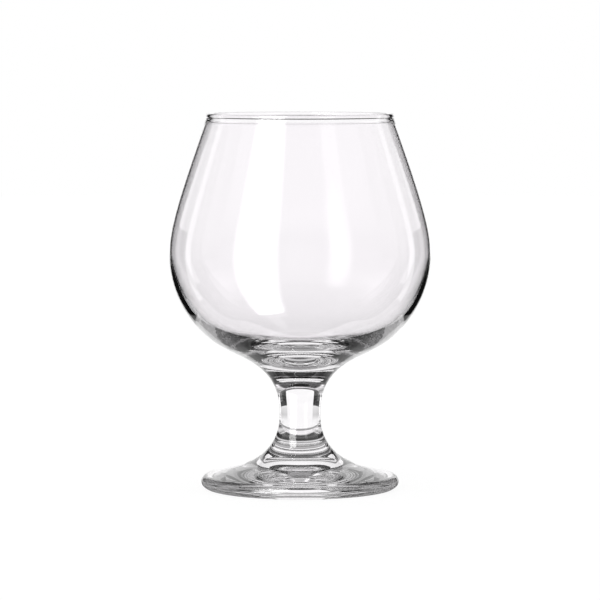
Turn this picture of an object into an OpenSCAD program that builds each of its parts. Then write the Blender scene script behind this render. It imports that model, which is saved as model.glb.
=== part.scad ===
// Brandy snifter in clear glass: a blown bowl, a pressed stem and a pressed foot,
// welded hot to each other on two level faces. All three turn about one axis.
// Millimetres, +Z up, origin at the centre of the ring that the foot rests on.

/* [Bowl] */
// Height of the glass, from the table to the top of the rim
height = 143.1; // [134:0.1:158]
// Outside diameter of the rounded rim
rim_d = 72.1; // [64:0.1:80]
// Thickness of the rounded bead that the fire leaves at the rim
bead_d = 1.76; // [1.4:0.02:2.3]
// Wall just under the rim
rim_wall = 1; // [0.8:0.01:1.3]
// Angle of the wall to the vertical at the rim
rim_lean = 19.8; // [14:0.1:24]
// Widest outside diameter of the bowl
belly_d = 99.8; // [92:0.1:110]
// Height of the widest level of the bowl
belly_h = 89.8; // [83:0.1:100]
// Wall at the widest level
belly_wall = 0.84; // [0.7:0.01:1.3]
// Outside diameter where the round bowl turns into the cove above the stem
shoulder_d = 64.7; // [58:0.1:73]
// Height of that turn
shoulder_h = 55.8; // [52:0.1:61]
// Wall at that turn, which thickens towards the stem
heel_wall = 3.6; // [2.8:0.1:4.6]
// Glass in the middle of the bowl, from the weld up to the inner floor
floor_t = 9.7; // [7.8:0.1:11.5]

/* [Stem] */
// Diameter at the waist of the stem
waist_d = 15.6; // [12.5:0.1:19]
// Height of the waist
waist_h = 28.3; // [25:0.1:33]
// Height of the weld between bowl and stem
bowl_weld_h = 41.2; // [38:0.1:44]
// Height of the weld between stem and foot
foot_weld_h = 14; // [11.5:0.1:17]

/* [Foot] */
// Diameter of the foot
foot_d = 75.6; // [69:0.1:84]
// Diameter where the flare of the stem runs out into the flat cone of the foot
flare_d = 46.7; // [42:0.1:54]
// Height of that place
flare_h = 8.2; // [7.2:0.1:9.6]
// Height at which the rounded edge of the foot is widest
edge_h = 2.4; // [1.9:0.1:2.9]
// Rounding of the edge above that height
edge_round = 2.7; // [1.9:0.1:3.3]
// Outside diameter of the ring that rests on the table
ring_d = 72; // [66:0.1:74]
// Width of that ring
ring_w = 1.8; // [1.5:0.1:3]
// Diameter of the hollow pressed up into the middle of the underside
hollow_d = 22; // [18:0.1:27]
// Height of the underside at the edge of that hollow
hollow_rise = 1.9; // [1.5:0.1:2.3]
// Height of the underside in the middle
push_up = 3.5; // [2.9:0.1:4.3]

/* [Hidden] */

$fn = 180;
// Chords in each curve of the section
curve_steps = 16;

// Angles to the vertical, going down: positive where the line runs outwards
shoulder_lean = -56.5;
heel_lean = -63.6;
floor_lean = -90;
flare_lean = 74.1;
foot_lean = 78;
ring_lean = -62;

// The same for the underside, where the line goes inwards and up
rise_lean = -107.6;
rise_end_lean = -100.5;
hollow_lean = -109.7;

// How far the bead stands proud of the inner face of the wall, as a share of its radius
proud_share = 0.1;

// Shares of the chord that the two handles of each curve take
upper_wall_shares = [0.697, 0.146];
lower_wall_shares = [0.548, 0.103];
cove_shares = [0.321, 0.524];
heel_shares = [0.307, 0.352];
floor_shares = [0.129, 0.225];
flare_shares = [0.318, 0.492];
cone_shares = [0.165, 0.05];
edge_shares = [0.4, 0.4];
rise_shares = [0.199, 0.126];
hollow_shares = [0.315, 0.59];

// The bead, and how far the two faces of the wall pass from its centre
bead_r = bead_d / 2;
bead_at = [rim_d / 2 - bead_r, height - bead_r];
inner_pass = (1 - proud_share) * bead_r;
outer_pass = rim_wall - inner_pass;

// The angles at which those faces meet the bead, counted from the wall's own outward side
inner_turn = 180 + acos(inner_pass / bead_r);
outer_turn = -acos(outer_pass / bead_r);

belly_out = [belly_d / 2, belly_h];
belly_in = belly_out - [belly_wall, 0];
shoulder_out = [shoulder_d / 2, shoulder_h];
heel_in = shoulder_out - heel_wall * [cos(shoulder_lean), sin(shoulder_lean)];
floor_mid = [0, bowl_weld_h + floor_t];
waist_out = [waist_d / 2, waist_h];
flare_out = [flare_d / 2, flare_h];
edge_top = [foot_d / 2 - edge_round, edge_h + edge_round];
edge_out = [foot_d / 2, edge_h];
ring_out = [ring_d / 2, 0];
ring_in = ring_out - [ring_w, 0];
hollow_out = [hollow_d / 2, hollow_rise];
hollow_mid = [0, push_up];

// The point of the bead at an angle from the wall's outward side
function on_bead(turn) = bead_at + bead_r * [cos(rim_lean + turn), sin(rim_lean + turn)];

// The direction of a line at an angle to the vertical, going down
function heading(lean) = [sin(lean), -cos(lean)];

// The point at share t along a curve of four control points
function on_curve(p, t) =
    pow(1 - t, 3) * p[0] + 3 * pow(1 - t, 2) * t * p[1] + 3 * (1 - t) * t * t * p[2] + pow(t, 3) * p[3];

// A curve from a to b that leaves and arrives at the given angles
function sweep(a, lean_a, b, lean_b, shares) =
    let (
        chord = norm(b - a),
        p = [a, a + shares[0] * chord * heading(lean_a), b - shares[1] * chord * heading(lean_b), b]
    )
    [for (i = [0:curve_steps]) on_curve(p, i / curve_steps)];

// The rounded rim, from the inner face of the wall over the top to the outer face
rim = [
    for (i = [0:curve_steps])
        let (t = i / curve_steps) on_bead((1 - t) * inner_turn + t * outer_turn)
];

// The outside, from under the rim down to the ring that rests on the table
outside = concat(
    sweep(on_bead(outer_turn), rim_lean, belly_out, 0, upper_wall_shares),
    sweep(belly_out, 0, shoulder_out, shoulder_lean, lower_wall_shares),
    sweep(shoulder_out, shoulder_lean, waist_out, 0, cove_shares),
    sweep(waist_out, 0, flare_out, flare_lean, flare_shares),
    sweep(flare_out, flare_lean, edge_top, foot_lean, cone_shares),
    sweep(edge_top, foot_lean, edge_out, 0, edge_shares),
    sweep(edge_out, 0, ring_out, ring_lean, edge_shares)
);

// The underside of the foot, from the ring inwards to its middle
underside = concat(
    sweep(ring_in, rise_lean, hollow_out, rise_end_lean, rise_shares),
    sweep(hollow_out, hollow_lean, hollow_mid, floor_lean, hollow_shares)
);

// The inside of the bowl, from under the rim down to the middle of its floor
inside = concat(
    sweep(on_bead(inner_turn), rim_lean, belly_in, 0, upper_wall_shares),
    sweep(belly_in, 0, heel_in, heel_lean, heel_shares),
    sweep(heel_in, heel_lean, floor_mid, floor_lean, floor_shares)
);

// Half of the section through the whole glass, kept between two heights
module section(from_h, to_h) {
    intersection() {
        polygon(concat(rim, outside, underside, [for (i = [len(inside) - 1:-1:0]) inside[i]]));
        translate([0, from_h]) square([belly_d, to_h - from_h]);
    }
}

// The bowl's thin wall, with its bead at the rim and its thick floor over the stem
module bowl() {
    color("azure", 0.35) rotate_extrude() section(bowl_weld_h, height);
}

// The solid stem, drawn in to a waist between its two welds
module stem() {
    color("aliceblue", 0.35) rotate_extrude() section(foot_weld_h, bowl_weld_h);
}

// The foot, a low cone with a rounded edge, hollowed underneath so that only a ring rests
module foot() {
    color("lightcyan", 0.35) rotate_extrude() section(0, foot_weld_h);
}

bowl();
stem();
foot();
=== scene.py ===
"""The looks of a brandy snifter: clear glass bowl, stem and foot in a small bright studio.

The glass is turned from one section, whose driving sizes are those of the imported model. Lengths are
in metres where nothing says millimetres, +Z is up, and the origin is the centre of the ring that the
foot rests on. The photograph's camera looks along +Y, slightly down.
"""

import logging
import math
from dataclasses import dataclass, field
from enum import Enum
from typing import Sequence

import bmesh
import bpy
from mathutils import Matrix, Vector


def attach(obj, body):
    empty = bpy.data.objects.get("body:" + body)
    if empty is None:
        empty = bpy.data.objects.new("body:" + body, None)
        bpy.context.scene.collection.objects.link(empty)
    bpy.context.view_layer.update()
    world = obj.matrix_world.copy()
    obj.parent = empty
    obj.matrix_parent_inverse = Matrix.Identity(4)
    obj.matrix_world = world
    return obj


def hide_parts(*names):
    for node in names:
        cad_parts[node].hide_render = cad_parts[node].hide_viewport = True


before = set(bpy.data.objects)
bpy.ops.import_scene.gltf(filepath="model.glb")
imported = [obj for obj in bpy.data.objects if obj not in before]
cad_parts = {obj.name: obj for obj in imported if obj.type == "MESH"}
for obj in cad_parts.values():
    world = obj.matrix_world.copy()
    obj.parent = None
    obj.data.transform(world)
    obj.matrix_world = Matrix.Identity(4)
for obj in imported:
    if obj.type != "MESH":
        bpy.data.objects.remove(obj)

LOG = logging.getLogger("snifter")

MM = 0.001

# In millimetres: points nearer to each other than this are one, and nearer to the axis are on it
SAME_PLACE = 1e-4
ON_AXIS = 1e-6

# Between no meeting with the glass and one, and between three surfaces crossed and four, which
# are those of the bowl's two walls
MET_ONCE = 0.5
TWO_WALLS = 3.5

# How often light may be mirrored or may cross a surface before it is lost
BOUNCES = 24

Point = tuple[float, float]
Colour = tuple[float, float, float]
Socket = bpy.types.NodeSocket
Tree = bpy.types.NodeTree


# Outline


def heading(lean: float) -> Point:
    """The direction of a line that leans by so many degrees from the vertical, going down."""
    return (math.sin(math.radians(lean)), -math.cos(math.radians(lean)))


def sweep(a: Point, lean_a: float, b: Point, lean_b: float, shares: Point, steps: int) -> list[Point]:
    """A curve between two points that leaves and arrives at given angles.

    Args:
        a: the start, as radius and height.
        lean_a: the angle at which the curve leaves, in degrees from the vertical, going down.
        b: the end.
        lean_b: the angle at which it arrives.
        shares: how long its two handles are, as shares of the chord.
        steps: the number of chords.

    Returns:
        The points of the curve, with both ends.
    """
    chord = math.dist(a, b)
    out, back = heading(lean_a), heading(lean_b)
    p = (
        a,
        (a[0] + shares[0] * chord * out[0], a[1] + shares[0] * chord * out[1]),
        (b[0] - shares[1] * chord * back[0], b[1] - shares[1] * chord * back[1]),
        b,
    )
    points = []
    for i in range(steps + 1):
        t = i / steps
        k = ((1 - t) ** 3, 3 * (1 - t) ** 2 * t, 3 * (1 - t) * t * t, t**3)
        points.append((sum(w * q[0] for w, q in zip(k, p)), sum(w * q[1] for w, q in zip(k, p))))
    return points


@dataclass(frozen=True)
class Section:
    """The half section of the whole glass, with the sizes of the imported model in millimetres."""

    height: float = 143.1
    rim_d: float = 72.1
    bead_d: float = 1.76
    rim_wall: float = 1.0
    rim_lean: float = 19.8
    belly_d: float = 99.8
    belly_h: float = 89.8
    belly_wall: float = 0.84
    shoulder_d: float = 64.7
    shoulder_h: float = 55.8
    shoulder_lean: float = -56.5
    heel_wall: float = 3.6
    heel_lean: float = -63.6
    floor_t: float = 9.7
    bowl_weld_h: float = 41.2
    foot_weld_h: float = 14.0
    waist_d: float = 15.6
    waist_h: float = 28.3
    foot_d: float = 75.6
    flare_d: float = 46.7
    flare_h: float = 8.2
    flare_lean: float = 74.1
    foot_lean: float = 78.0
    edge_h: float = 2.4
    edge_round: float = 2.7
    ring_d: float = 72.0
    ring_w: float = 1.8
    ring_lean: float = -62.0
    hollow_d: float = 22.0
    hollow_rise: float = 1.9
    push_up: float = 3.5
    rise_lean: float = -107.6
    rise_end_lean: float = -100.5
    hollow_lean: float = -109.7
    proud_share: float = 0.1
    upper_wall_shares: Point = (0.697, 0.146)
    lower_wall_shares: Point = (0.548, 0.103)
    heel_shares: Point = (0.307, 0.352)
    floor_shares: Point = (0.129, 0.225)
    cove_shares: Point = (0.321, 0.524)
    flare_shares: Point = (0.318, 0.492)
    cone_shares: Point = (0.165, 0.05)
    edge_shares: Point = (0.4, 0.4)
    rise_shares: Point = (0.199, 0.126)
    hollow_shares: Point = (0.315, 0.59)
    steps: int = 32

    def on_bead(self, turn: float) -> Point:
        """The point of the rim's bead at an angle from the outward side of the wall."""
        r = self.bead_d / 2
        a = math.radians(self.rim_lean + turn)
        return (self.rim_d / 2 - r + r * math.cos(a), self.height - r + r * math.sin(a))

    def turns(self) -> Point:
        """The angles at which the inner and the outer face of the wall meet the bead."""
        r = self.bead_d / 2
        inner = (1 - self.proud_share) * r
        return (
            180 + math.degrees(math.acos(inner / r)),
            -math.degrees(math.acos((self.rim_wall - inner) / r)),
        )

    def rim(self) -> list[Point]:
        """The rounded rim, from the inner face over the top to the outer face."""
        inner, outer = self.turns()
        return [self.on_bead(inner + (outer - inner) * i / self.steps) for i in range(self.steps + 1)]

    def wall_outside(self) -> list[Point]:
        """The outside, from under the rim down to the waist of the stem."""
        belly = (self.belly_d / 2, self.belly_h)
        shoulder = (self.shoulder_d / 2, self.shoulder_h)
        waist = (self.waist_d / 2, self.waist_h)
        n = self.steps
        return join(
            sweep(self.on_bead(self.turns()[1]), self.rim_lean, belly, 0, self.upper_wall_shares, n),
            sweep(belly, 0, shoulder, self.shoulder_lean, self.lower_wall_shares, n),
            sweep(shoulder, self.shoulder_lean, waist, 0, self.cove_shares, n),
        )

    def foot_outside(self) -> list[Point]:
        """The outside, from the waist of the stem down to the ring that rests on the table."""
        waist = (self.waist_d / 2, self.waist_h)
        flare = (self.flare_d / 2, self.flare_h)
        edge_top = (self.foot_d / 2 - self.edge_round, self.edge_h + self.edge_round)
        edge = (self.foot_d / 2, self.edge_h)
        ring = (self.ring_d / 2, 0.0)
        n = self.steps
        return join(
            sweep(waist, 0, flare, self.flare_lean, self.flare_shares, n),
            sweep(flare, self.flare_lean, edge_top, self.foot_lean, self.cone_shares, n),
            sweep(edge_top, self.foot_lean, edge, 0, self.edge_shares, n // 2),
            sweep(edge, 0, ring, self.ring_lean, self.edge_shares, n // 2),
        )

    def underside(self) -> list[Point]:
        """The underside of the foot, from the ring inwards to its middle."""
        ring = (self.ring_d / 2 - self.ring_w, 0.0)
        hollow = (self.hollow_d / 2, self.hollow_rise)
        middle = (0.0, self.push_up)
        n = self.steps
        return join(
            sweep(ring, self.rise_lean, hollow, self.rise_end_lean, self.rise_shares, n),
            sweep(hollow, self.hollow_lean, middle, -90, self.hollow_shares, n),
        )

    def inside(self) -> list[Point]:
        """The inside of the bowl, from the middle of its floor up to the rim."""
        belly = (self.belly_d / 2 - self.belly_wall, self.belly_h)
        a = math.radians(self.shoulder_lean)
        heel = (
            self.shoulder_d / 2 - self.heel_wall * math.cos(a),
            self.shoulder_h - self.heel_wall * math.sin(a),
        )
        middle = (0.0, self.bowl_weld_h + self.floor_t)
        n = self.steps
        down = join(
            sweep(self.on_bead(self.turns()[0]), self.rim_lean, belly, 0, self.upper_wall_shares, n),
            sweep(belly, 0, heel, self.heel_lean, self.heel_shares, n),
            sweep(heel, self.heel_lean, middle, -90, self.floor_shares, n),
        )
        return down[::-1]


def join(*curves: list[Point]) -> list[Point]:
    """Curves end to end as one line, with each shared point kept once."""
    line: list[Point] = []
    for curve in curves:
        for point in curve:
            if not line or math.dist(line[-1], point) > SAME_PLACE:
                line.append(point)
    return line


def cut(line: Sequence[Point], low: float, high: float) -> list[Point]:
    """The stretch of a line between two heights, with its ends exactly on them.

    Args:
        line: points whose height only falls, or only rises, from one end to the other.
        low: the lower height.
        high: the upper height.

    Returns:
        The points in between, in the same order.
    """
    kept: list[Point] = []
    for a, b in zip(line, line[1:]):
        for level in sorted((low, high), reverse=a[1] > b[1]):
            if min(a[1], b[1]) < level < max(a[1], b[1]):
                t = (level - a[1]) / (b[1] - a[1])
                kept.append((a[0] + t * (b[0] - a[0]), level))
        if low <= b[1] <= high:
            kept.append(b)
    if low <= line[0][1] <= high:
        kept.insert(0, line[0])
    return join(kept)


# Meshes


class Face(Enum):
    """The material slots of a turned piece."""

    GLASS = 0
    WELD = 1


@dataclass(frozen=True)
class Stretch:
    """A stretch of a turned piece's outline, whose faces share one material slot."""

    line: list[Point]
    face: Face = Face.GLASS


@dataclass(frozen=True)
class Lathe:
    """Turns closed outlines about the upright axis.

    Attributes:
        segments: faces around the axis.
        corner: the turn of the outline, in degrees, above which an edge stays sharp.
    """

    segments: int = 256
    corner: float = 24.0

    def turn(self, name: str, stretches: Sequence[Stretch]) -> bpy.types.Object:
        """Makes the closed solid of an outline that starts and ends on the axis.

        Args:
            name: the object's name.
            stretches: the outline in millimetres, in order, each stretch starting where the last ended.

        Returns:
            The object, smooth but for the sharp rings.
        """
        line, faces = self._outline(stretches)
        mesh = bpy.data.meshes.new(name)
        work = bmesh.new()
        rings = [self._ring(work, point) for point in line]
        for k, (a, b) in enumerate(zip(rings, rings[1:])):
            for i in range(self.segments):
                j = (i + 1) % self.segments
                corners = [a[i % len(a)], b[i % len(b)], b[j % len(b)], a[j % len(a)]]
                kept = [v for n, v in enumerate(corners) if v not in corners[:n]]
                face = work.faces.new(kept)
                face.smooth = True
                face.material_index = faces[k].value
        for k in self._sharp(line):
            for i in range(self.segments):
                edge = work.edges.get((rings[k][i], rings[k][(i + 1) % self.segments]))
                edge.smooth = False
        bmesh.ops.recalc_face_normals(work, faces=work.faces)
        work.to_mesh(mesh)
        work.free()
        shape = bpy.data.objects.new(name, mesh)
        bpy.context.scene.collection.objects.link(shape)
        return shape

    def _outline(self, stretches: Sequence[Stretch]) -> tuple[list[Point], list[Face]]:
        """The outline as one line, and the face of each of its chords."""
        line: list[Point] = []
        faces: list[Face] = []
        for stretch in stretches:
            for point in stretch.line:
                if line and math.dist(line[-1], point) < SAME_PLACE:
                    continue
                if line:
                    faces.append(stretch.face)
                line.append(point)
        return line, faces

    def _ring(self, work: bmesh.types.BMesh, point: Point) -> list[bmesh.types.BMVert]:
        """The corners of one level of the piece: a ring, or a single corner on the axis."""
        r, z = point[0] * MM, point[1] * MM
        if point[0] < ON_AXIS:
            return [work.verts.new((0, 0, z))]
        turns = [2 * math.pi * i / self.segments for i in range(self.segments)]
        return [work.verts.new((r * math.cos(a), r * math.sin(a), z)) for a in turns]

    def _sharp(self, line: list[Point]) -> list[int]:
        """The places off the axis where the outline turns a corner."""
        found = []
        for k in range(1, len(line) - 1):
            a, b, c = (Vector(line[k - 1]), Vector(line[k]), Vector(line[k + 1]))
            if b.x > ON_AXIS and math.degrees((b - a).angle(c - b)) > self.corner:
                found.append(k)
        return found


# Finishes


def new_material(name: str) -> tuple[bpy.types.Material, Tree, bpy.types.Node]:
    """An empty node material with its output node."""
    material = bpy.data.materials.new(name)
    material.use_nodes = True
    tree = material.node_tree
    tree.nodes.clear()
    return material, tree, tree.nodes.new("ShaderNodeOutputMaterial")


@dataclass(frozen=True)
class ClearGlass:
    """Clear polished soda-lime glass, with a faint tint that is slightly uneven.

    Attributes:
        name: the material's name.
        ior: the refractive index.
        tint: the colour that a crossing of the glass leaves in white light where it is deepest.
        pale: how much of the way to white the tint goes where it is palest.
        clouds: the scale of the unevenness.
        detail: how many finer layers it has.
    """

    name: str
    ior: float = 1.52
    tint: Colour = (1.0, 0.98, 1.0)
    pale: float = 0.5
    clouds: float = 18.0
    detail: float = 2.0

    def make(self) -> bpy.types.Material:
        """Builds the material."""
        material, tree, out = new_material(self.name)
        new, link = tree.nodes.new, tree.links.new
        shader = new("ShaderNodeBsdfPrincipled")
        shader.inputs["Transmission Weight"].default_value = 1.0
        shader.inputs["Roughness"].default_value = 0.0
        shader.inputs["IOR"].default_value = self.ior
        place = new("ShaderNodeTexCoord")
        cloud = new("ShaderNodeTexNoise")
        cloud.inputs["Scale"].default_value = self.clouds
        cloud.inputs["Detail"].default_value = self.detail
        link(place.outputs["Object"], cloud.inputs["Vector"])
        ramp = new("ShaderNodeMix")
        ramp.data_type = "RGBA"
        ramp.inputs["A"].default_value = (*self.tint, 1.0)
        ramp.inputs["B"].default_value = (*(c + self.pale * (1 - c) for c in self.tint), 1.0)
        link(cloud.outputs["Fac"], ramp.inputs["Factor"])
        link(ramp.outputs["Result"], shader.inputs["Base Color"])
        link(shader.outputs["BSDF"], out.inputs["Surface"])
        return material


@dataclass(frozen=True)
class WeldFace:
    """The level where two pieces are melted into one, through which light passes unbent."""

    name: str = "melted_weld"

    def make(self) -> bpy.types.Material:
        """Builds the material."""
        material, tree, out = new_material(self.name)
        shader = tree.nodes.new("ShaderNodeBsdfPrincipled")
        shader.inputs["Alpha"].default_value = 0.0
        tree.links.new(shader.outputs["BSDF"], out.inputs["Surface"])
        return material


# The pieces


@dataclass
class GlassPiece:
    """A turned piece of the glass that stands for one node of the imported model.

    Attributes:
        section: the sizes of the whole glass.
        lathe: what turns the outline.
        finish: the glass of this piece.
        weld: the finish of the faces where it is welded to its neighbours.
    """

    section: Section
    lathe: Lathe
    finish: ClearGlass
    weld: WeldFace = WeldFace()
    node: str = field(default="", init=False)

    def outline(self) -> list[Stretch]:
        """The outline of the piece, from the axis to the axis."""
        raise NotImplementedError

    def disc(self, line: list[Point], from_axis: bool) -> list[Point]:
        """The level weld face at one end of a line."""
        end = line[0] if from_axis else line[-1]
        return [(0.0, end[1]), end] if from_axis else [end, (0.0, end[1])]

    def build(self) -> bpy.types.Object:
        """Makes the piece, dresses it and lets it stand for its node."""
        shape = self.lathe.turn(self.node + "_glass", self.outline())
        shape.data.materials.append(self.finish.make())
        shape.data.materials.append(self.weld.make())
        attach(shape, "root")
        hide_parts(self.node)
        LOG.info("%s: %d faces", shape.name, len(shape.data.polygons))
        return shape


@dataclass
class Bowl(GlassPiece):
    """The blown bowl, from its weld to the stem up to the rounded rim."""

    def __post_init__(self) -> None:
        """Names the node."""
        self.node = "bowl"

    def outline(self) -> list[Stretch]:
        """The weld face, the outside going up, the rim and the inside going down."""
        s = self.section
        up = cut(s.wall_outside(), s.bowl_weld_h, s.height)[::-1]
        glass = join(up, s.rim()[::-1], s.inside()[::-1])
        return [Stretch(self.disc(up, True), Face.WELD), Stretch(glass)]


@dataclass
class Stem(GlassPiece):
    """The solid stem between its two welds."""

    def __post_init__(self) -> None:
        """Names the node."""
        self.node = "stem"

    def outline(self) -> list[Stretch]:
        """The upper weld face, the waisted side going down and the lower weld face."""
        s = self.section
        side = cut(join(s.wall_outside(), s.foot_outside()), s.foot_weld_h, s.bowl_weld_h)
        return [
            Stretch(self.disc(side, True), Face.WELD),
            Stretch(side),
            Stretch(self.disc(side, False), Face.WELD),
        ]


@dataclass
class Foot(GlassPiece):
    """The foot, a low cone that rests on a ring, with a hollow underneath."""

    def __post_init__(self) -> None:
        """Names the node."""
        self.node = "foot"

    def outline(self) -> list[Stretch]:
        """The weld face, the top and the edge going down, and the underside."""
        s = self.section
        top = cut(s.foot_outside(), 0.0, s.foot_weld_h)
        glass = join(top, s.underside())
        return [Stretch(self.disc(top, True), Face.WELD), Stretch(glass)]


# The studio


class Sight(Enum):
    """Which light paths meet a stage object."""

    FLOOR = ("camera", "diffuse", "shadow")
    THROUGH_GLASS = ("glossy", "transmission")

    def apply(self, shape: bpy.types.Object) -> None:
        """Sets the object's ray visibility."""
        for kind in ("camera", "diffuse", "glossy", "transmission", "volume_scatter", "shadow"):
            setattr(shape, "visible_" + kind, kind in self.value)


def new_math(tree: Tree, operation: str, second: float | None = None) -> bpy.types.Node:
    """A node that does one sum.

    Args:
        tree: the material or the world that it is for.
        operation: the sum.
        second: its second number, where that is fixed.

    Returns:
        The node.
    """
    node = tree.nodes.new("ShaderNodeMath")
    node.operation = operation
    if second is not None:
        node.inputs[1].default_value = second
    return node


def bent_light(tree: Tree, steep: Socket | None = None) -> Socket:
    """Tells the light that the glass has bent or mirrored from the light straight through the bowl.

    Light that only crosses the two thin walls of the bowl shows the plain white studio, from any
    side. All other light in the glass shows the screens and the shades of the room.

    Args:
        tree: the material or the world that asks.
        steep: how far light that isn't mirrored counts as straight after one wall too, from 0 to 1.

    Returns:
        A socket with 1 for bent light, and 0 for light straight through.
    """
    new, link = tree.nodes.new, tree.links.new
    path = new("ShaderNodeLightPath")
    crossed = new_math(tree, "GREATER_THAN", TWO_WALLS)
    unmirrored = new_math(tree, "LESS_THAN", MET_ONCE)
    either = new_math(tree, "MAXIMUM", 0.0)
    straight = new_math(tree, "MULTIPLY")
    bent = new_math(tree, "SUBTRACT")
    bent.inputs[0].default_value = 1.0
    link(path.outputs["Transmission Depth"], crossed.inputs[0])
    link(path.outputs["Glossy Depth"], unmirrored.inputs[0])
    link(crossed.outputs[0], either.inputs[0])
    if steep is not None:
        link(steep, either.inputs[1])
    link(either.outputs[0], straight.inputs[0])
    link(unmirrored.outputs[0], straight.inputs[1])
    link(straight.outputs[0], bent.inputs[1])
    return bent.outputs[0]


class SeenBy(Enum):
    """The part of the bent light that sees a screen: a depth of the light's path, and its range."""

    ALL = ()
    MIRRORED = ("Glossy Depth", "GREATER_THAN")
    UNMIRRORED = ("Glossy Depth", "LESS_THAN")
    OUTER_SKIN = ("Transmission Depth", "LESS_THAN")

    def shares(self, tree: Tree) -> list[Socket]:
        """Tells that light from the rest.

        Args:
            tree: the material that asks.

        Returns:
            Nothing for all light, or else a socket with 1 for this light and 0 for any other.
        """
        if not self.value:
            return []
        depth, test = self.value
        path, seen = tree.nodes.new("ShaderNodeLightPath"), new_math(tree, test, MET_ONCE)
        tree.links.new(path.outputs[depth], seen.inputs[0])
        return [seen.outputs[0]]


def shown_in_glass(tree: Tree, light: Socket, shares: Sequence[Socket], out: bpy.types.Node) -> None:
    """Lets a light be seen by bent light only, and by the product of some shares.

    Args:
        tree: the material.
        light: its light.
        shares: how much of it is there, each from 0 to 1.
        out: the output node.
    """
    new, link = tree.nodes.new, tree.links.new
    total = bent_light(tree)
    for share in shares:
        times = new_math(tree, "MULTIPLY")
        link(total, times.inputs[0])
        link(share, times.inputs[1])
        total = times.outputs[0]
    clear, mix = new("ShaderNodeBsdfTransparent"), new("ShaderNodeMixShader")
    link(total, mix.inputs[0])
    link(clear.outputs[0], mix.inputs[1])
    link(light, mix.inputs[2])
    link(mix.outputs[0], out.inputs["Surface"])


def set_stops(ramp: bpy.types.Node, levels: Sequence[Point]) -> None:
    """Fills a colour ramp with greys, from pairs of a place and a grey, the first place being 0."""
    stops = ramp.color_ramp.elements
    stops[1].color = (*(levels[-1][1],) * 3, 1.0)
    for k, (at, grey) in enumerate(levels):
        stop = stops[0] if k == 0 else stops.new(at)
        stop.color = (grey, grey, grey, 1.0)


@dataclass(frozen=True)
class Screen:
    """A flat upright screen in the studio: a lit panel, or a dark card where its light is low.

    Attributes:
        name: the object's name.
        azimuth: where it stands, in degrees from +Y towards +X.
        distance: how far from the glass, in metres.
        width: its width.
        low: the height of its lower edge.
        high: the height of its upper edge.
        light: the strength of its light, where 1 is white.
        shift: how far it is moved along its own width, to the right as seen from the glass.
        soft: the width of the fade at its edges.
        seen_by: the light that sees it.
    """

    name: str
    azimuth: float
    distance: float
    width: float
    low: float
    high: float
    light: float
    shift: float = 0.0
    soft: float = 0.0
    seen_by: SeenBy = SeenBy.ALL

    def build(self) -> bpy.types.Object:
        """Makes the screen, which only light that has met the glass can see."""
        a = math.radians(self.azimuth)
        away, across = Vector((math.sin(a), math.cos(a), 0)), Vector((math.cos(a), -math.sin(a), 0))
        middle = away * self.distance + across * self.shift + Vector((0, 0, (self.low + self.high) / 2))
        half_w, half_h = self.width / 2, (self.high - self.low) / 2
        corners = [(-half_w, -half_h, 0), (half_w, -half_h, 0), (half_w, half_h, 0), (-half_w, half_h, 0)]
        mesh = bpy.data.meshes.new(self.name)
        mesh.from_pydata(corners, [], [(0, 1, 2, 3)])
        mesh.materials.append(self._finish(half_w, half_h))
        shape = bpy.data.objects.new(self.name, mesh)
        turned = Matrix((across, Vector((0, 0, 1)), -away)).transposed()
        shape.matrix_world = Matrix.Translation(middle) @ turned.to_4x4()
        bpy.context.scene.collection.objects.link(shape)
        Sight.THROUGH_GLASS.apply(shape)
        return shape

    def _finish(self, half_w: float, half_h: float) -> bpy.types.Material:
        """The screen's light, which fades to nothing over its soft edges.

        Args:
            half_w: half the width of the screen.
            half_h: half its height.

        Returns:
            The material.
        """
        material, tree, out = new_material(self.name)
        new, link = tree.nodes.new, tree.links.new
        glow = new("ShaderNodeEmission")
        glow.inputs["Strength"].default_value = self.light
        place, parts = new("ShaderNodeTexCoord"), new("ShaderNodeSeparateXYZ")
        link(place.outputs["Object"], parts.inputs[0])
        shares = self.seen_by.shares(tree)
        soft_sides = (("X", half_w), ("Y", half_h)) if self.soft > 0 else ()
        for axis, half in soft_sides:
            reach, fade = new_math(tree, "ABSOLUTE"), new("ShaderNodeMapRange")
            fade.interpolation_type = "SMOOTHSTEP"
            fade.inputs["From Min"].default_value = half - self.soft
            fade.inputs["From Max"].default_value = half
            fade.inputs["To Min"].default_value = 1.0
            fade.inputs["To Max"].default_value = 0.0
            link(parts.outputs[axis], reach.inputs[0])
            link(reach.outputs[0], fade.inputs["Value"])
            shares.append(fade.outputs["Result"])
        shown_in_glass(tree, glow.outputs["Emission"], shares, out)
        return material


def pair(
    name: str, azimuth: float, *sizes: float, shift: float = 0.0, **rest: float | SeenBy
) -> tuple[Screen, Screen]:
    """Two screens alike, to the left and to the right of the glass.

    Args:
        name: what both are called.
        azimuth: where the right one stands.
        *sizes: the distance, the width, the two heights and the light of both.
        shift: how far the right one is moved.
        **rest: what else they share.

    Returns:
        The left one and the right one.
    """
    left = Screen(name + "_left", -azimuth, *sizes, shift=-shift, **rest)
    return left, Screen(name + "_right", azimuth, *sizes, shift=shift, **rest)


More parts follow.
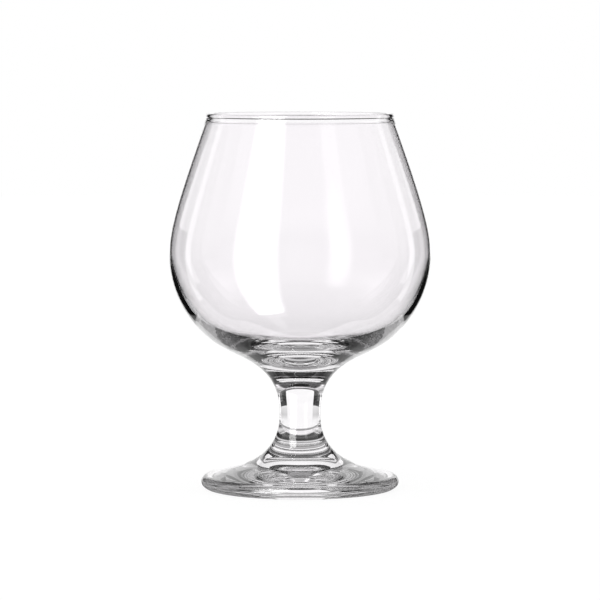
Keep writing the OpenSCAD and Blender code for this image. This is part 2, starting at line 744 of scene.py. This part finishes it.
@dataclass(frozen=True)
class Floor:
    """The white table, and the shade under the foot that only the glass shows.

    Attributes:
        radius: the radius of the table.
        corners: the corners of its round edge, and of the shade's.
        grey: the colour of the matt sheet on it.
        rough: the roughness of that sheet.
        glow: the strength of the plain white.
        white: the share of its colour that comes as plain white, so that the shadow stays faint.
        depth: how far under the top of the table the shade lies.
        clear: the radius in millimetres inside which only mirrored light shows the rings, so that
            the foot looks clear from above.
        rings: the light that the foot gathers on the table under it, as pairs of a radius in
            millimetres and the light there.
    """

    radius: float = 2.5
    corners: int = 96
    grey: float = 0.9
    rough: float = 0.8
    glow: float = 1.03
    white: float = 0.88
    depth: float = 0.00005
    clear: float = 35.0
    rings: tuple[Point, ...] = (
        (0.0, 0.75),
        (4.0, 0.3),
        (7.0, 0.02),
        (10.5, 0.12),
        (13.0, 0.03),
        (17.0, 0.03),
        (20.0, 0.85),
        (23.0, 0.4),
        (28.0, 0.23),
        (32.0, 0.1),
        (36.0, 0.2),
        (39.0, 0.08),
        (41.0, 0.08),
        (43.0, 0.5),
        (46.0, 0.28),
        (54.4, 0.36),
    )

    def build(self) -> None:
        """Makes the table and the shade."""
        table = self._disc("table", self.radius, 0.0)
        table.data.materials.append(self._table_sheet())
        Sight.FLOOR.apply(table)
        shade = self._disc("shade_under_the_foot", self.rings[-1][0] * MM, -self.depth)
        shade.data.materials.append(self._soft_shade())
        Sight.THROUGH_GLASS.apply(shade)

    def _disc(self, name: str, radius: float, z: float) -> bpy.types.Object:
        """A flat disc."""
        mesh = bpy.data.meshes.new(name)
        turns = [2 * math.pi * i / self.corners for i in range(self.corners)]
        rim = [(radius * math.cos(a), radius * math.sin(a), z) for a in turns]
        mesh.from_pydata(rim, [], [tuple(range(self.corners))])
        shape = bpy.data.objects.new(name, mesh)
        bpy.context.scene.collection.objects.link(shape)
        return shape

    def _table_sheet(self) -> bpy.types.Material:
        """Matt white that keeps a faint shadow."""
        material, tree, out = new_material("white_table")
        new, link = tree.nodes.new, tree.links.new
        sheet = new("ShaderNodeBsdfPrincipled")
        sheet.inputs["Base Color"].default_value = (self.grey, self.grey, self.grey, 1.0)
        sheet.inputs["Roughness"].default_value = self.rough
        glow = new("ShaderNodeEmission")
        glow.inputs["Strength"].default_value = self.glow
        path = new("ShaderNodeLightPath")
        share = new_math(tree, "MULTIPLY", self.white)
        mix = new("ShaderNodeMixShader")
        link(path.outputs["Is Camera Ray"], share.inputs[0])
        link(share.outputs[0], mix.inputs[0])
        link(sheet.outputs["BSDF"], mix.inputs[1])
        link(glow.outputs["Emission"], mix.inputs[2])
        link(mix.outputs[0], out.inputs["Surface"])
        return material

    def _soft_shade(self) -> bpy.types.Material:
        """Rings of light and shade under the foot."""
        material, tree, out = new_material("soft_shade")
        new, link = tree.nodes.new, tree.links.new
        place, reach = new("ShaderNodeTexCoord"), new("ShaderNodeVectorMath")
        reach.operation = "LENGTH"
        share, ramp = new("ShaderNodeMapRange"), new("ShaderNodeValToRGB")
        share.inputs["From Max"].default_value = self.rings[-1][0] * MM
        set_stops(ramp, [(r / self.rings[-1][0], light) for r, light in self.rings])
        glow = new("ShaderNodeEmission")
        link(place.outputs["Object"], reach.inputs[0])
        link(reach.outputs["Value"], share.inputs["Value"])
        link(share.outputs["Result"], ramp.inputs["Fac"])
        link(ramp.outputs["Color"], glow.inputs["Color"])
        outer, either = new_math(tree, "GREATER_THAN", self.clear * MM), new_math(tree, "MAXIMUM")
        link(reach.outputs["Value"], outer.inputs[0])
        link(outer.outputs[0], either.inputs[0])
        link(*SeenBy.MIRRORED.shares(tree), either.inputs[1])
        shown_in_glass(tree, glow.outputs["Emission"], [either.outputs[0]], out)
        return material


@dataclass(frozen=True)
class Surround:
    """The room: plain light on matt things and for the eye, and what the glass shows of it.

    Attributes:
        plain: the strength of the light on matt things, and straight through the bowl.
        behind: what bent light shows behind the glass, as pairs of the angle above the horizon and
            the light there.
        before: the same on the camera's side.
        turn: how far along Y, of a direction one long, the room changes from one to the other.
        steep: the Z of such a direction at which light through a single wall starts to show plain
            light, and the Z at which it shows nothing else.
    """

    plain: float = 1.0
    behind: tuple[Point, ...] = (
        (-90.0, 0.40),
        (-55.0, 0.40),
        (-30.0, 0.47),
        (-8.0, 0.66),
        (8.0, 0.96),
        (30.0, 1.3),
        (37.0, 1.3),
        (47.0, 0.0),
    )
    before: tuple[Point, ...] = (
        (-90.0, 0.18),
        (-60.0, 0.18),
        (-35.0, 0.72),
        (-13.0, 0.26),
        (16.0, 0.75),
        (35.0, 0.88),
        (37.0, 0.88),
        (47.0, 0.0),
    )
    turn: float = 0.25
    steep: Point = (-0.12, -0.26)

    def build(self) -> None:
        """Makes the world."""
        world = bpy.data.worlds.new("studio_room")
        world.use_nodes = True
        bpy.context.scene.world = world
        tree = world.node_tree
        tree.nodes.clear()
        new, link = tree.nodes.new, tree.links.new
        place, parts = new("ShaderNodeTexCoord"), new("ShaderNodeSeparateXYZ")
        link(place.outputs["Generated"], parts.inputs[0])
        side = new("ShaderNodeMapRange")
        side.inputs["From Min"].default_value = self.turn
        side.inputs["From Max"].default_value = -self.turn
        link(parts.outputs["Y"], side.inputs["Value"])
        behind = self._ramp(tree, parts.outputs["Z"], self.behind)
        before = self._ramp(tree, parts.outputs["Z"], self.before)
        room = self._mix(tree, side.outputs["Result"], behind, before)
        path = new("ShaderNodeLightPath")
        seen, both = new_math(tree, "MAXIMUM"), new_math(tree, "MULTIPLY")
        link(path.outputs["Is Glossy Ray"], seen.inputs[0])
        link(path.outputs["Is Transmission Ray"], seen.inputs[1])
        link(seen.outputs[0], both.inputs[0])
        steep = new("ShaderNodeMapRange")
        steep.inputs["From Min"].default_value, steep.inputs["From Max"].default_value = self.steep
        link(parts.outputs["Z"], steep.inputs["Value"])
        link(bent_light(tree, steep.outputs["Result"]), both.inputs[1])
        light = self._mix(tree, both.outputs[0], (self.plain,) * 3 + (1.0,), room)
        back, out = new("ShaderNodeBackground"), new("ShaderNodeOutputWorld")
        link(light, back.inputs["Color"])
        link(back.outputs[0], out.inputs["Surface"])

    def _ramp(self, tree: Tree, height: Socket, levels: Sequence[Point]) -> Socket:
        """The light by the height of a direction.

        Args:
            tree: the world.
            height: the Z of the direction, which is one long.
            levels: pairs of an angle above the horizon and the light there.

        Returns:
            The light as a grey colour.
        """
        half, ramp = tree.nodes.new("ShaderNodeMapRange"), tree.nodes.new("ShaderNodeValToRGB")
        half.inputs["From Min"].default_value = -1.0
        tree.links.new(height, half.inputs["Value"])
        tree.links.new(half.outputs["Result"], ramp.inputs["Fac"])
        set_stops(ramp, [((math.sin(math.radians(angle)) + 1) / 2, light) for angle, light in levels])
        return ramp.outputs["Color"]

    def _mix(self, tree: Tree, share: Socket, a: Socket | tuple[float, ...], b: Socket) -> Socket:
        """Two colours mixed by a share of the second.

        Args:
            tree: the world.
            share: how much there is of the second.
            a: the first, as a socket or as a colour.
            b: the second.

        Returns:
            The mixed colour.
        """
        mix = tree.nodes.new("ShaderNodeMix")
        mix.data_type = "RGBA"
        tree.links.new(share, mix.inputs["Factor"])
        if isinstance(a, tuple):
            mix.inputs["A"].default_value = a
        else:
            tree.links.new(a, mix.inputs["A"])
        tree.links.new(b, mix.inputs["B"])
        return mix.outputs["Result"]


@dataclass(frozen=True)
class Studio:
    """The small bright studio round the glass.

    Attributes:
        floor: the table.
        surround: the room.
        screens: the panels, the cards and the soft lights, which nothing but the glass shows.
    """

    floor: Floor = Floor()
    surround: Surround = Surround()
    screens: tuple[Screen, ...] = (
        Screen("back_panel", 0, 0.420, 0.455, -0.175, 0.278, 1.02, soft=0.012),
        Screen("dark_gap_over_the_panel", 0, 0.430, 0.960, 0.266, 1.080, 0.05, soft=0.010),
        *pair("low_card", 90, 0.107, 0.187, 0.0, 0.109, 0.32, shift=-0.1075, seen_by=SeenBy.MIRRORED),
        *pair("tall_card", 90, 0.1065, 0.155, 0.012, 0.235, 0.015, shift=-0.1375, seen_by=SeenBy.MIRRORED),
        *pair("far_dark", 43.5, 12.000, 7.20, 0.35, 13.0, 0.01, seen_by=SeenBy.UNMIRRORED),
        Screen("softbox_front_left", -142, 0.600, 0.500, -0.90, 1.40, 9.5, 0, 0.130, SeenBy.OUTER_SKIN),
        Screen("softbox_front_right", 148, 0.600, 0.280, -0.28, 0.50, 2.6, 0, 0.130, SeenBy.OUTER_SKIN),
        Screen("soft_light_front_left", -140, 0.610, 0.300, -2.40, 0.58, 1.2, soft=0.070),
        Screen("soft_light_front_right", 143, 0.610, 0.230, -0.28, 0.57, 0.9, soft=0.070),
        *pair("strip", 65.6, 1.200, 0.200, -0.56, 1.08, 1.7, soft=0.020),
    )

    def build(self) -> None:
        """Sets up the room, the table and the screens."""
        self.surround.build()
        self.floor.build()
        for screen in self.screens:
            screen.build()
        LOG.info("studio: %d screens", len(self.screens))


@dataclass(frozen=True)
class Viewpoint:
    """The photograph's camera.

    Attributes:
        place: where it stands.
        target: the point in the middle of the picture.
        lens: the focal length, in millimetres.
        sensor: the width of the sensor, in millimetres.
        clip: the nearest and the farthest that it sees.
    """

    place: Vector = Vector((0.0, -1.2527, 0.16794))
    target: Vector = Vector((0.0, 0.0, 0.0719))
    lens: float = 197.3
    sensor: float = 36.0
    clip: Point = (0.01, 20.0)

    def build(self) -> bpy.types.Object:
        """Makes the camera and hands it to the scene."""
        data = bpy.data.cameras.new("photo_camera")
        data.sensor_width = self.sensor
        data.lens = self.lens
        data.clip_start, data.clip_end = self.clip
        camera = bpy.data.objects.new("photo_camera", data)
        camera.location = self.place
        camera.rotation_mode = "QUATERNION"
        camera.rotation_quaternion = (self.target - self.place).to_track_quat("-Z", "Y")
        bpy.context.scene.collection.objects.link(camera)
        bpy.context.scene.camera = camera
        return camera


def main() -> None:
    """Builds the glass and its studio."""
    logging.basicConfig(level=logging.INFO, format="%(message)s")
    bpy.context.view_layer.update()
    scene = bpy.context.scene
    scene.view_settings.view_transform = "Standard"
    scene.cycles.max_bounces = BOUNCES
    scene.cycles.transmission_bounces = BOUNCES
    scene.cycles.glossy_bounces = BOUNCES
    section, lathe = Section(), Lathe()
    Bowl(section, lathe, ClearGlass("blown_glass")).build()
    Stem(section, lathe, ClearGlass("stem_glass")).build()
    Foot(section, lathe, ClearGlass("foot_glass")).build()
    Studio().build()
    Viewpoint().build()


if __name__ == "__main__":
    main()
